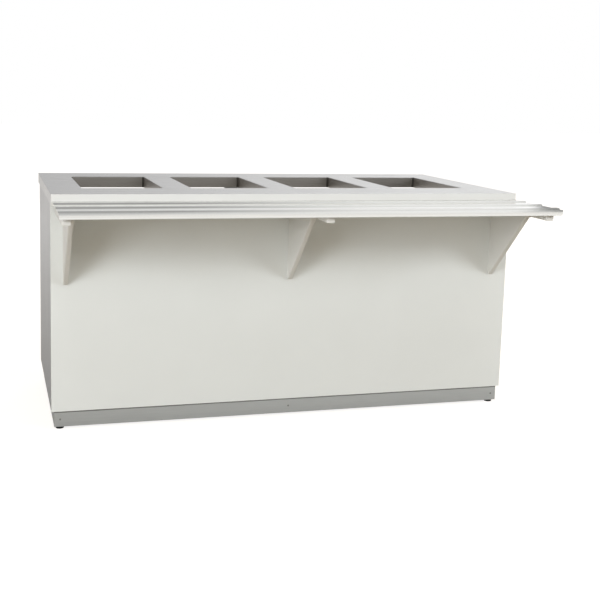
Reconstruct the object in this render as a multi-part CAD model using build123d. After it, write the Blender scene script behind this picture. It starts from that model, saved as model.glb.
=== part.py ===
from build123d import *
import os

# A free-standing buffet counter. X runs along its length, the customers stand at -Y,
# the operator at +Y, and Z = 0 is the floor. All sizes are in millimetres.

# Overall sizes
counter_length = 1800.0
counter_height = 870.0
worktop_depth = 910.0
body_depth = 750.0  # front panel to operator side
panel_setback = 50.0  # front panel, behind the fascia
panel_bottom = 70.0  # lower edge of the front and side panels
tray_reach = 355.0  # front face of the tray slide, out from the fascia

# Sheet metal
worktop_sheet = 1.5
fascia_sheet = 1.5
panel_sheet = 1.5
tray_sheet = 1.5
plinth_sheet = 1.5
shelf_sheet = 1.5
gusset_sheet = 2.0
bend_radius = 1.5  # outside radius of the fascia's and the side panels' folds

# Worktop
edge_height = 40.0  # turned-down edge
edge_round = 1.5
worktop_corner = 6.0  # upright corners at the operator side

# Wells for hanging food pans
well_count = 4
well_width = 306.0
well_length = 510.0
well_end_gap = 124.5  # from the counter's end to the first well
well_back_gap = 65.0  # from the operator side of the body to the wells
well_corner = 8.0
rim_drop = 3.0  # turned-down edge of an opening, above its collar
rim_bend = 0.5  # inside radius of that edge
well_skirt = 46.0  # depth of a well's wall below the worktop's face

# Side panels and centre stile at the operator side
side_return = 40.0
stile_width = 205.0
stile_depth = 25.0

# Tray slide
tray_drop = 25.0  # below the worktop
tray_end_gap = 2.5  # shorter than the worktop at each end
lip_height = 20.0
lip_hem = 10.0
lip_corner = 9.0
tray_back_flange = 15.0
rib_count = 3
rib_back_gap = 74.0  # from the fascia to the middle of the first rib
rib_front_gap = 37.0  # from the middle of the last rib to the lip
rib_foot = 26.0
rib_crest = 19.0
rib_height = 4.5
tray_bend = 1.6

# Tray brackets
left_bracket_inset = 42.0  # joint of gusset and arm, in from the counter's left end
right_bracket_inset = 58.0  # the same at the right end
gusset_width = 20.0
gusset_height = 304.0
gusset_front_gap = 92.0  # from the lip to the gusset's top corner
gusset_tip = 6.0
gusset_mouth = 8.0  # plate left along the front of the open top
fascia_gap = 2.0  # between the fascia and what stands in front of it
arm_width = 30.0
arm_height = 39.5
arm_wall = 2.0
arm_round = 4.0
arm_setback = 20.0  # front end of an arm, behind the lip

# Frame
base_tube = 40.0
base_wall = 2.0
post_width = 40.0
post_depth = 30.0
post_wall = 2.0
top_tube = 30.0
shelf_apron = 36.0
shelf_gap = 1.0  # round posts and between neighbouring sheets

# Plinth
plinth_bottom = 10.0
plinth_hem = 4.0
plinth_inset = 10.0  # in from the side panels
plinth_setback = 8.0  # behind the front panel
toe_space = 60.0  # in from the operator side

# Levelling feet
pad_radius = 15.0
pad_height = 10.0
pad_chamfer = 2.0
socket_floor = 4.0
screw_radius = 5.0
screw_reach = 45.5  # above the leg's lower end
collar_radius = 9.0
collar_height = 5.9
collar_gap = 0.3
insert_height = 18.0
running_gap = 0.05

# Fasteners
hole_gap = 0.15  # round shanks in their holes
plinth_screw_radius = 2.0
plinth_screw_head = 3.6
plinth_head_height = 1.8
plinth_head_round = 1.2
plinth_screw_length = 10.0
plinth_screw_gap = 1.5  # above the foot's insert
bolt_radius = 4.0
bolt_head_radius = 7.0
bolt_head_height = 5.3
bolt_end = 10.0  # past the gusset's back wall
bolt_low_gap = 55.0  # above the gusset's lower end
bolt_high_gap = 60.0  # below the fascia
stile_screw_radius = 2.0
stile_screw_head = 4.0
stile_head_height = 2.0
stile_screw_length = 8.0
stile_screw_inset = 30.0

# Places worked out from the sizes above
half = counter_length / 2
front_y = (tray_reach - worktop_depth) / 2
back_y = front_y + worktop_depth
lip_y = front_y - tray_reach
panel_y = front_y + panel_setback
frame_front = panel_y + panel_sheet
body_back = panel_y + body_depth
frame_back = body_back - panel_sheet
frame_half = half - panel_sheet
edge_z = counter_height - edge_height
under_top = counter_height - worktop_sheet
deck_z = panel_bottom + base_tube
shelf_top = deck_z + shelf_sheet
rail_z = under_top - top_tube
well_y = body_back - well_back_gap - well_length / 2
well_pitch = (counter_length - 2 * well_end_gap - well_width) / (well_count - 1)
well_xs = [(i - (well_count - 1) / 2) * well_pitch for i in range(well_count)]
tray_z = counter_height - tray_drop
tray_under = tray_z - tray_sheet
tray_half = half - tray_end_gap
lip_z = tray_z - lip_height
rib_pitch = (tray_reach - rib_back_gap - rib_front_gap) / (rib_count - 1)
joint_xs = [left_bracket_inset - half, 0.0, half - right_bracket_inset]
gusset_low = tray_under - gusset_height
gusset_front = lip_y + gusset_front_gap
gusset_xs = [x + side * gusset_width / 2 for x, side in zip(joint_xs, (1, -1, -1))]
bolt_levels = [gusset_low + bolt_low_gap, edge_z - bolt_high_gap]
plinth_half = half - plinth_inset
plinth_front = panel_y + plinth_setback
plinth_back = body_back - toe_space
leg_x = plinth_half - plinth_sheet - base_tube / 2
leg_front = plinth_front + plinth_sheet + base_tube / 2
leg_back = plinth_back - plinth_sheet - base_tube / 2
leg_bottom = pad_height + collar_height + 2 * collar_gap
plinth_screw_xs = [-leg_x, 0.0, leg_x]
plinth_screw_z = leg_bottom + insert_height + plinth_screw_gap + plinth_screw_radius
post_inside = half - side_return
stile_screw_x = stile_width / 2 - stile_screw_inset
stile_screw_y = frame_back - stile_depth / 2


def block(x0, x1, y0, y1, z0, z1):
    """Block between two corners."""
    return Pos((x0 + x1) / 2, (y0 + y1) / 2, (z0 + z1) / 2) * Box(x1 - x0, y1 - y0, z1 - z0)


def tube(x0, x1, y0, y1, z0, z1, wall, axis):
    """Square tube between two corners, open at both ends along one axis."""
    gx, gy, gz = {"x": (0, wall, wall), "y": (wall, 0, wall), "z": (wall, wall, 0)}[axis]
    inside = block(x0 + gx, x1 - gx, y0 + gy, y1 - gy, z0 + gz, z1 - gz)
    return block(x0, x1, y0, y1, z0, z1) - inside


def rod(x, y, z0, z1, radius):
    """Upright cylinder between two heights."""
    return Pos(x, y, (z0 + z1) / 2) * Cylinder(radius, z1 - z0)


def rod_y(x, z, y0, y1, radius):
    """Cylinder along Y."""
    return Pos(x, (y0 + y1) / 2, z) * Rot(90, 0, 0) * Cylinder(radius, y1 - y0)


def rounded(x, y, width, length, corner, z0, z1):
    """Upright prism with rounded corners."""
    return extrude(Pos(x, y, z0) * RectangleRounded(width, length, corner), amount=z1 - z0)


def folded(points, thickness, bend, side):
    """Section of a sheet that is folded along a line of points and lies to one side of it."""
    line = FilletPolyline(*points, radius=bend)
    return make_face(offset(line, amount=thickness, side=side, closed=True))


def along_x(section, x0, x1):
    """Section drawn in Y and Z, drawn out along X."""
    return extrude(Plane.YZ.offset(x0) * section, amount=x1 - x0)


def along_z(section, z0, z1):
    """Section drawn in X and Y, drawn out along Z."""
    return extrude(Plane.XY.offset(z0) * section, amount=z1 - z0)


def mirrored(shape):
    """The same piece for the other end of the counter."""
    return mirror(shape, about=Plane.YZ)


def well_prism(x, spread, z0, z1):
    """Prism of a well's opening, grown by spread on each side."""
    width = well_width + 2 * spread
    length = well_length + 2 * spread
    return rounded(x, well_y, width, length, well_corner + spread, z0, z1)


def by_wells(edges):
    """Those edges that lie round a well, and not along the worktop's own outline."""
    reach_x = well_xs[-1] + well_width / 2 + worktop_sheet + 1
    reach_y = well_length / 2 + worktop_sheet + 1
    return [e for e in edges if abs(e.center().X) < reach_x and abs(e.center().Y - well_y) < reach_y]


def make_worktop():
    """Stainless pan with turned-down outer edges and a rounded, turned-down edge round each well."""
    y0 = front_y + fascia_sheet
    middle = (y0 + back_y) / 2
    depth = back_y - y0
    pan = block(-half, half, y0, back_y, edge_z, counter_height)
    pan = fillet(pan.edges().filter_by(Axis.Z).group_by(Axis.Y)[-1], worktop_corner)
    top_edges = pan.edges().group_by(Axis.Z)[-1]
    pan = fillet(top_edges - top_edges.group_by(Axis.Y)[0], edge_round)
    inset = 2 * worktop_sheet
    corner = worktop_corner - worktop_sheet
    pan -= rounded(0, middle, counter_length - inset, depth - inset, corner, edge_z - 1, under_top)
    pan -= block(-half, half, y0 - 1, frame_front, edge_z - 1, edge_z + fascia_sheet)
    for x in well_xs:
        pan += well_prism(x, worktop_sheet, counter_height - rim_drop, under_top)
    inner = [e for e in by_wells(pan.edges()) if abs(e.center().Z - under_top) < rim_bend / 10]
    pan = fillet(inner, rim_bend)
    for x in well_xs:
        pan -= well_prism(x, 0, edge_z, counter_height + 1)
    return fillet(by_wells(pan.edges().group_by(Axis.Z)[-1]), rim_bend + worktop_sheet)


def make_collar(x):
    """Sleeve under a well's opening, the lower part of its wall."""
    z0 = counter_height - well_skirt
    z1 = counter_height - rim_drop
    return well_prism(x, worktop_sheet, z0, z1) - well_prism(x, 0, z0 - 1, z1 + 1)


def make_fascia():
    """White strip with a fold that goes back over the front panel's top edge."""
    points = [(front_y, counter_height), (front_y, edge_z), (frame_front, edge_z)]
    return along_x(folded(points, fascia_sheet, bend_radius, Side.LEFT), -half, half)


def bolt_holes(y0, y1):
    """Cylinders for the bracket bolts' holes."""
    radius = bolt_radius + hole_gap
    return Compound(children=[rod_y(x, z, y0, y1, radius) for x in gusset_xs for z in bolt_levels])


def make_front_panel():
    """White sheet over the frame's front."""
    panel = block(-half, half, panel_y, frame_front, panel_bottom, edge_z)
    return panel - bolt_holes(panel_y - 1, frame_front + 1)


def make_side_panel():
    """Left side panel, folded inwards at the operator side."""
    points = [(-half, frame_front), (-half, body_back), (-half + side_return, body_back)]
    return along_z(folded(points, panel_sheet, bend_radius, Side.RIGHT), panel_bottom, edge_z)


def make_base_shelf():
    """Deck on the base frame, notched round the posts, with an apron at the operator side."""
    deck = block(-frame_half, frame_half, frame_front, frame_back, deck_z, shelf_top)
    apron_half = post_inside - shelf_gap
    deck += block(-apron_half, apron_half, frame_back, body_back, shelf_top - shelf_apron, shelf_top)
    g = shelf_gap
    for x0, x1, y0, y1 in post_spots():
        deck -= block(x0 - g, x1 + g, y0 - g, y1 + g, deck_z - 1, shelf_top + 1)
    for x in (-stile_screw_x, stile_screw_x):
        deck -= rod(x, stile_screw_y, deck_z - 1, shelf_top + 1, stile_screw_radius + hole_gap)
    return deck


def make_centre_stile():
    """Folded pan between the two bays of the operator side."""
    s = panel_sheet
    w = stile_width / 2
    y0 = body_back - stile_depth
    stile = block(-w, w, y0, body_back, shelf_top, rail_z)
    stile -= block(-w + s, w - s, y0 - 1, frame_back, shelf_top + s, rail_z - s)
    hole = stile_screw_radius + hole_gap
    for x in (-stile_screw_x, stile_screw_x):
        stile -= rod(x, stile_screw_y, shelf_top - 1, shelf_top + s + 1, hole)
        stile -= rod(x, stile_screw_y, rail_z - s - 1, rail_z + 1, hole)
    return stile


def make_plinth_strip(length, screw_xs):
    """Plinth strip with a hem, standing along X with its face at Y = 0."""
    points = [(0, panel_bottom), (0, plinth_bottom), (plinth_hem, plinth_bottom)]
    strip = along_x(folded(points, plinth_sheet, plinth_sheet, Side.LEFT), -length / 2, length / 2)
    for x in screw_xs:
        strip -= rod_y(x, plinth_screw_z, -1, plinth_sheet + 1, plinth_screw_radius + hole_gap)
    return strip


def make_long_plinth():
    """Strip along the counter, its hem cut back at the ends for the short strips."""
    strip = make_plinth_strip(2 * plinth_half, plinth_screw_xs)
    for x0 in (-plinth_half, plinth_half - plinth_hem):
        strip -= block(x0, x0 + plinth_hem, plinth_sheet, plinth_hem, plinth_bottom, panel_bottom)
    return strip


def make_plinth_left():
    """Strip under the left side panel, between the long strips."""
    y0 = plinth_front + plinth_sheet
    y1 = plinth_back - plinth_sheet
    return Pos(-plinth_half, (y0 + y1) / 2, 0) * Rot(0, 0, -90) * make_plinth_strip(y1 - y0, ())


def make_base_frame():
    """Rails under the deck, a leg at each corner and a stub behind the middle of each long plinth."""
    t = base_tube
    h = t / 2
    front_end, back_end = frame_front + t, frame_back - t
    front = tube(-frame_half, frame_half, frame_front, front_end, panel_bottom, deck_z, base_wall, "x")
    back = tube(-frame_half, frame_half, back_end, frame_back, panel_bottom, deck_z, base_wall, "x")
    for x in (-stile_screw_x, stile_screw_x):
        hole = stile_screw_radius + hole_gap
        back -= rod(x, stile_screw_y, deck_z - base_wall - 1, deck_z + 1, hole)
    pieces = [front, back]
    for x0 in (-frame_half, frame_half - t):
        pieces.append(tube(x0, x0 + t, front_end, back_end, panel_bottom, deck_z, base_wall, "y"))
    reach = base_wall + 1
    hole = plinth_screw_radius + hole_gap
    for x in plinth_screw_xs:
        for y, face in ((leg_front, leg_front - h), (leg_back, leg_back + h)):
            leg = tube(x - h, x + h, y - h, y + h, leg_bottom, panel_bottom, base_wall, "z")
            pieces.append(leg - rod_y(x, plinth_screw_z, face - reach, face + reach, hole))
    return Compound(children=pieces)


def post_spots():
    """Foot print of each post: three behind the gussets, two at the operator side."""
    w, d = post_width / 2, post_depth
    spots = [(x - w, x + w, frame_front, frame_front + d) for x in gusset_xs]
    for x0 in (-post_inside - d, post_inside):
        spots.append((x0, x0 + d, frame_back - d, frame_back))
    return spots


def make_posts():
    """Upright tubes between the base frame and the top frame."""
    posts = [tube(*spot, deck_z, rail_z, post_wall, "z") for spot in post_spots()]
    holes = bolt_holes(frame_front - 1, frame_front + post_depth + 1)
    fronts = [post - holes for post in posts[: len(gusset_xs)]]
    return Compound(children=fronts + posts[len(gusset_xs) :])


def make_top_frame():
    """Rails under the worktop: a ring, and one between each pair of wells."""
    t = top_tube
    y0, y1 = frame_front + t, frame_back - t
    front = tube(-frame_half, frame_half, frame_front, y0, rail_z, under_top, post_wall, "x")
    back = tube(-frame_half, frame_half, y1, frame_back, rail_z, under_top, post_wall, "x")
    for x in (-stile_screw_x, stile_screw_x):
        hole = stile_screw_radius + hole_gap
        back -= rod(x, stile_screw_y, rail_z - 1, rail_z + post_wall + 1, hole)
    pieces = [front, back]
    middles = [x + well_pitch / 2 for x in well_xs[:-1]]
    for x in [t / 2 - frame_half, *middles, frame_half - t / 2]:
        pieces.append(tube(x - t / 2, x + t / 2, y0, y1, rail_z, under_top, post_wall, "y"))
    return Compound(children=pieces)


def make_tray_slide():
    """Sheet with raised ribs, a lip with a hem in front and a flange against the fascia."""
    points = [(lip_y + lip_hem, lip_z), (lip_y, lip_z), (lip_y, tray_z)]
    for i in reversed(range(rib_count)):
        y = front_y - rib_back_gap - i * rib_pitch
        points.append((y - rib_foot / 2, tray_z))
        points.append((y - rib_crest / 2, tray_z + rib_height))
        points.append((y + rib_crest / 2, tray_z + rib_height))
        points.append((y + rib_foot / 2, tray_z))
    points += [(front_y, tray_z), (front_y, tray_z - tray_back_flange)]
    tray = along_x(folded(points, tray_sheet, tray_bend, Side.RIGHT), -tray_half, tray_half)
    r = lip_corner
    y0, y1 = lip_y - 1, lip_y + lip_hem + 1
    for end, inner in ((-tray_half, r - tray_half), (tray_half, tray_half - r)):
        cut = block(min(end, inner), max(end, inner), y0, y1, lip_z - 1, lip_z + r)
        tray -= cut - rod_y(inner, lip_z + r, y0 - 1, y1 + 1, r)
    return tray


def make_gusset(middle):
    """White welded box, triangular from the side, open at its top."""
    x0 = middle - gusset_width / 2
    x1 = middle + gusset_width / 2
    t = gusset_sheet
    step_y = front_y - fascia_gap
    points = [
        (panel_y, gusset_low),
        (panel_y - gusset_tip, gusset_low),
        (gusset_front, tray_under),
        (step_y, tray_under),
        (step_y, edge_z),
        (panel_y, edge_z),
    ]
    outline = make_face(Polyline(*points, close=True))
    inside = along_x(offset(outline, amount=-t, kind=Kind.INTERSECTION), x0 + t, x1 - t)
    mouth = gusset_front + gusset_mouth
    inside += block(x0 + t, x1 - t, mouth, step_y - t, tray_under - 2 * t, tray_under + 1)
    return along_x(outline, x0, x1) - inside - bolt_holes(panel_y - t - 1, panel_y + 1)


def make_arm(x0):
    """White tube under the tray, closed at its front end."""
    x1 = x0 + arm_width
    y0 = lip_y + arm_setback
    y1 = front_y - fascia_gap
    z0 = tray_under - arm_height
    w = arm_wall
    arm = block(x0, x1, y0, y1, z0, tray_under)
    arm = fillet(arm.edges().filter_by(Axis.Y), arm_round)
    return arm - block(x0 + w, x1 - w, y0 + w, y1 + 1, z0 + w, tray_under - w)


def foot_spots():
    """Name and place of each levelling foot."""
    ends = (("left", -leg_x), ("right", leg_x))
    sides = (("front", leg_front), ("back", leg_back))
    return [(f"{side}_{end}", x, y) for side, y in sides for end, x in ends]


def make_foot_pad(x, y):
    """Round pad with a socket for the stem."""
    pad = rod(x, y, 0, pad_height, pad_radius)
    pad = chamfer(pad.edges().group_by(Axis.Z)[-1], pad_chamfer)
    return pad - rod(x, y, socket_floor, pad_height + 1, screw_radius + running_gap)


def make_foot_stem(x, y):
    """Threaded stem with a hexagonal collar."""
    stem = rod(x, y, socket_floor + running_gap, leg_bottom + screw_reach, screw_radius)
    collar = Pos(x, y, pad_height + collar_gap) * RegularPolygon(collar_radius, 6)
    return stem + extrude(collar, amount=collar_height)


def make_foot_inserts():
    """Threaded plug in the lower end of each leg."""
    h = base_tube / 2 - base_wall
    z1 = leg_bottom + insert_height
    plugs = []
    for _, x, y in foot_spots():
        plug = block(x - h, x + h, y - h, y + h, leg_bottom, z1)
        plugs.append(plug - rod(x, y, leg_bottom - 1, z1 + 1, screw_radius + running_gap))
    return Compound(children=plugs)


def make_plinth_screws():
    """Pan-head screws through the plinth into the legs and stubs."""
    head = rod_y(0, 0, -plinth_head_height, 0, plinth_screw_head)
    head = fillet(head.edges().group_by(Axis.Y)[0], plinth_head_round)
    screw = head + rod_y(0, 0, 0, plinth_screw_length, plinth_screw_radius)
    screws = []
    for x in plinth_screw_xs:
        screws.append(Pos(x, plinth_front, plinth_screw_z) * screw)
        screws.append(Pos(x, plinth_back, plinth_screw_z) * Rot(0, 0, 180) * screw)
    return Compound(children=screws)


def make_bracket_bolts():
    """Hexagon bolts through the front posts and the panel into the gussets."""
    seat = frame_front + post_depth
    tip = panel_y - gusset_sheet - bolt_end
    head = extrude(RegularPolygon(bolt_head_radius, 6), amount=bolt_head_height)
    bolts = []
    for x in gusset_xs:
        for z in bolt_levels:
            bolts.append(rod_y(x, z, tip, seat, bolt_radius) + Pos(x, seat, z) * Rot(-90, 0, 0) * head)
    return Compound(children=bolts)


def make_stile_screws():
    """Screws through the stile's flanges into the deck and the top rail."""
    head = rod(0, 0, -stile_head_height, 0, stile_screw_head)
    screw = head + rod(0, 0, 0, stile_screw_length, stile_screw_radius)
    screws = []
    for x in (-stile_screw_x, stile_screw_x):
        screws.append(Pos(x, stile_screw_y, rail_z - panel_sheet) * screw)
        screws.append(Pos(x, stile_screw_y, shelf_top + panel_sheet) * Rot(180, 0, 0) * screw)
    return Compound(children=screws)


def make_nodes():
    """All nodes by name."""
    left_side = make_side_panel()
    plinth_left = make_plinth_left()
    long_plinth = make_long_plinth()
    nodes = {
        "worktop": make_worktop(),
        "front_fascia": make_fascia(),
        "front_panel": make_front_panel(),
        "left_side_panel": left_side,
        "right_side_panel": mirrored(left_side),
        "centre_stile": make_centre_stile(),
        "base_shelf": make_base_shelf(),
        "plinth_front": Pos(0, plinth_front, 0) * long_plinth,
        "plinth_back": Pos(0, plinth_back, 0) * Rot(0, 0, 180) * long_plinth,
        "plinth_left": plinth_left,
        "plinth_right": mirrored(plinth_left),
        "base_frame": make_base_frame(),
        "frame_posts": make_posts(),
        "top_frame": make_top_frame(),
        "tray_slide": make_tray_slide(),
        "foot_inserts": make_foot_inserts(),
        "plinth_screws": make_plinth_screws(),
        "bracket_bolts": make_bracket_bolts(),
        "stile_screws": make_stile_screws(),
    }
    for i, x in enumerate(well_xs, start=1):
        nodes[f"well_collar_{i}"] = make_collar(x)
    for name, x, joint in zip(("left", "middle", "right"), gusset_xs, joint_xs):
        nodes[f"gusset_{name}"] = make_gusset(x)
        nodes[f"tray_arm_{name}"] = make_arm(joint if x < joint else joint - arm_width)
    for name, x, y in foot_spots():
        nodes[f"foot_pad_{name}"] = make_foot_pad(x, y)
        nodes[f"foot_stem_{name}"] = make_foot_stem(x, y)
    return nodes


os.makedirs("parts", exist_ok=True)
for node_name, node_shape in make_nodes().items():
    export_step(node_shape, f"parts/{node_name}.step")
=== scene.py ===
"""Looks of a free-standing buffet counter with four food wells and a ribbed tray slide."""

import logging
import math
from dataclasses import dataclass
from enum import Enum
from functools import cache, partial
from typing import Any, Callable, Iterable, Sequence

import bmesh
import bpy
from mathutils import Matrix, Vector


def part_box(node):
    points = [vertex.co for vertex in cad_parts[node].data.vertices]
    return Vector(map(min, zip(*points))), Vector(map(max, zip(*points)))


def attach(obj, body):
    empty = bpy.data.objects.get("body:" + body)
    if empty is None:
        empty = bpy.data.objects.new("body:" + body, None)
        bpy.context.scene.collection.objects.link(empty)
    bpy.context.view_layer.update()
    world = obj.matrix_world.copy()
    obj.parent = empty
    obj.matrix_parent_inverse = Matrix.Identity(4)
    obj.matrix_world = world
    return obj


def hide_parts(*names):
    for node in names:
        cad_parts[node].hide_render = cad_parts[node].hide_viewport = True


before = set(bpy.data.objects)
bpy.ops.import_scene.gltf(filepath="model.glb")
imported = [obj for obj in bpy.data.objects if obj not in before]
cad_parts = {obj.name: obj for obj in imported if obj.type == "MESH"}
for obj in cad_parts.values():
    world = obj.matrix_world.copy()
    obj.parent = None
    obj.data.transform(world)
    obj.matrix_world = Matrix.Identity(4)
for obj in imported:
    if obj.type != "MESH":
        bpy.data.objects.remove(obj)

LOG = logging.getLogger("buffet_counter")
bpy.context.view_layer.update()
MM = 0.001
QUARTER = math.pi / 2
WHITE = (1.0, 1.0, 1.0, 1.0)
# Radius that stands for the axis in a spun outline, and the reach of a cut, in millimetres.
TINY = 1e-5
# Points less than this apart, in millimetres, are level or the same.
HAIR = 1e-3
# Distance in millimetres within which an edge or a face counts as lying at a plane.
NEAR = 1.0
# Cosine above which a face counts as looking in a direction.
SQUARE_ON = 0.9
# Faces across a rounding: the long edges of tubes, the folds of sheet, the rims of heads and caps.
TUBE_FACES, SHEET_FACES, RIM_FACES = 4, 5, 2
# Sockets of a mix node for colours: the share, the two colours and their mix.
SHARE, FIRST, SECOND, MIXED = 0, 6, 7, 2

Shape = bmesh.types.BMesh
Tree = bpy.types.NodeTree
Socket = bpy.types.NodeSocket
Outline = Sequence[tuple[float, float]]
Point = Sequence[float]
# Names of CAD nodes.
Nodes = tuple[str, ...]
# Adds a node to one tree and gives its outputs.
Adder = Callable[..., bpy.types.NodeOutputs]
# A value goes from the first number to the second, and what it gives from 0 to 1 or between the other two.
Ramp = tuple[float, ...]


class Grain(Enum):
    """Way in which a steel sheet's brush strokes run, as pattern scale along X, Y and Z."""

    ALONG_X = (0.008, 1.0, 1.0)
    UPRIGHT = (1.0, 1.0, 0.008)
    LEVEL = (0.008, 0.008, 1.0)


def linear(colour: str) -> tuple[float, float, float, float]:
    """Turn an sRGB hex colour to linear light.

    Args:
        colour: Six hex digits after a hash sign.

    Returns:
        Red, green, blue and an alpha of 1.
    """
    parts = [int(colour[i : i + 2], 16) / 255 for i in (1, 3, 5)]
    rgb = [c / 12.92 if c <= 0.04045 else ((c + 0.055) / 1.055) ** 2.4 for c in parts]
    return rgb[0], rgb[1], rgb[2], 1.0


def add_node(
    tree: Tree, kind: str, inputs: dict[Any, Any] | Sequence[Any] = (), **settings: Any
) -> bpy.types.NodeOutputs:
    """Add a node, set it up and link it.

    Args:
        tree: Node tree that gets the node.
        kind: Name of the node type, without the words that every shader node's name starts with.
        inputs: Values for the inputs, or sockets to link to them, by name or in the inputs' order.
        **settings: Values of the node's own properties.

    Returns:
        The outputs of the new node.
    """
    node = tree.nodes.new("ShaderNode" + kind)
    for key, value in settings.items():
        setattr(node, key, value)
    for key, value in inputs.items() if isinstance(inputs, dict) else enumerate(inputs):
        if isinstance(value, Socket):
            tree.links.new(value, node.inputs[key])
        else:
            node.inputs[key].default_value = value
    return node.outputs


def adder(tree: Tree) -> Adder:
    """Empty a node tree and give the function that adds a node to it."""
    tree.nodes.clear()
    return partial(add_node, tree)


def empty_material(name: str) -> tuple[bpy.types.Material, Adder, Socket]:
    """Start a material.

    Args:
        name: Name of the material.

    Returns:
        The material, the function that adds its nodes and the socket of the object's coordinates.
    """
    material = bpy.data.materials.new(name)
    material.use_nodes = True
    add = adder(material.node_tree)
    return material, add, add("TexCoord")["Object"]


def end_material(add: Adder, relief: Socket, share: float, depth_mm: float, inputs: dict[str, Any]) -> None:
    """End a material with its bumps, its shader and its output.

    Args:
        add: Function that adds the material's nodes.
        relief: Pattern that raises the surface.
        share: Part of the relief that shows.
        depth_mm: Height of the relief.
        inputs: What goes into the shader besides the bumps.
    """
    bump = add("Bump", {"Height": relief, "Strength": share, "Distance": depth_mm * MM})[0]
    shader = add("BsdfPrincipled", {**inputs, "Normal": bump})[0]
    add("OutputMaterial", {"Surface": shader})


def per_metre(size_mm: float) -> float:
    """Pattern scale whose features repeat about once in a number of millimetres."""
    return 1 / (size_mm * MM)


@dataclass(frozen=True)
class BrushedSteel:
    """Stainless sheet or tube: grey metal with fine strokes from the abrasive belt.

    The strokes blur what the metal mirrors across their run and leave it clearer along it. Broader
    bands show where the belt passed, and faint smudges where hands and cloths did.
    """

    name: str
    bright: str
    dull: str
    smooth: float
    rough: float
    grain: Grain
    # Real belt strokes are some 0.2 mm apart. These are drawn coarser, so that they show.
    stroke_mm: float = 1.0
    band_mm: float = 9.0
    smudge_mm: float = 110.0
    smear: float = 0.05
    depth_mm: float = 0.006
    relief: float = 0.35
    # Weight of the strokes against the bands, and the ranges of their sum and of the smudges that show.
    stroke_weight: float = 1.6
    streaks: Ramp = (0.9, 1.7)
    smudges: Ramp = (0.5, 0.68)
    # A face turned this far to the sheet's ends is one of its folded ends.
    end_facing: float = 0.7
    # Height above the floor from which a painted shade line darkens the metal, if it does.
    shade_line_mm: float | None = None
    shade_line_fade_mm: float = 2.5
    shade_line_wave_mm: float = 2.0
    # Colour of that painted shade line.
    shade_line_colour: str = "#8b8a86"
    # Colour of painted shade in the corners where two walls meet, if any, and how far they slant.
    corner: str | None = None
    corners: Ramp = (0.05, 0.30)

    def material(self) -> bpy.types.Material:
        """Mix the finish from its patterns.

        Returns:
            The new material.
        """
        material, add, place = empty_material(self.name)
        normal = place.node.outputs["Normal"]
        run = add("Mapping", {"Vector": place, "Scale": self.grain.value})[0]
        if self.grain is Grain.ALONG_X:
            # Where the sheet is folded down at its ends, its strokes run down as well.
            down = add("Mapping", {"Vector": place, "Scale": Grain.UPRIGHT.value})[0]
            facing = add("SeparateXYZ", (normal,))["X"]
            steep = add("Math", (facing,), operation="ABSOLUTE")[0]
            ends = add("Math", (steep, self.end_facing), operation="GREATER_THAN")[0]
            # The vectors and their mix have sockets of their own, 4, 5 and 1.
            run = add("Mix", {SHARE: ends, 4: run, 5: down}, data_type="VECTOR")[1]
        patterns = (
            {"Vector": run, "Scale": per_metre(self.stroke_mm), "Detail": 3.0, "Roughness": 0.6},
            {"Vector": run, "Scale": per_metre(self.band_mm), "Detail": 2.0},
            {"Vector": place, "Scale": per_metre(self.smudge_mm), "Detail": 5.0, "Distortion": 0.8},
        )
        stroke, band, smudge = [add("TexNoise", pattern)["Fac"] for pattern in patterns]
        streak = add("Math", (stroke, self.stroke_weight, band), operation="MULTIPLY_ADD")[0]
        tone = add("MapRange", (streak, *self.streaks))[0]
        metal = {SHARE: tone, FIRST: linear(self.dull), SECOND: linear(self.bright)}
        colour = add("Mix", metal, data_type="RGBA")[MIXED]
        painted_shades = []
        # Painted shade: the metal darkens above a wavy height, as under an overhanging edge.
        if self.shade_line_mm is not None:
            height = add("SeparateXYZ", (place,))["Z"]
            wavy = add("Math", (smudge, self.shade_line_wave_mm * MM, height), operation="MULTIPLY_ADD")[0]
            low, high = self.shade_line_mm * MM, (self.shade_line_mm + self.shade_line_fade_mm) * MM
            painted_shades.append((add("MapRange", (wavy, low, high))[0], self.shade_line_colour))
        # Painted shade: the corners, where the walls face both X and Y, darken.
        if self.corner is not None:
            faces = add("SeparateXYZ", (normal,))
            both = add("Math", (faces["X"], faces["Y"]), operation="MULTIPLY")[0]
            slant = add("Math", (both,), operation="ABSOLUTE")[0]
            painted_shades.append((add("MapRange", (slant, *self.corners))[0], self.corner))
        for share, tint in painted_shades:
            shaded = {SHARE: share, FIRST: colour, SECOND: linear(tint)}
            colour = add("Mix", shaded, data_type="RGBA")[MIXED]
        gloss = add("MapRange", (streak, *self.streaks, self.rough, self.smooth))[0]
        touched = add("MapRange", (smudge, *self.smudges, 0.0, self.smear))[0]
        handled = add("Math", (gloss, touched), operation="ADD")[0]
        inputs = {"Base Color": colour, "Metallic": 1.0, "Roughness": handled}
        end_material(add, stroke, self.relief, self.depth_mm, inputs)
        return material


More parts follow.
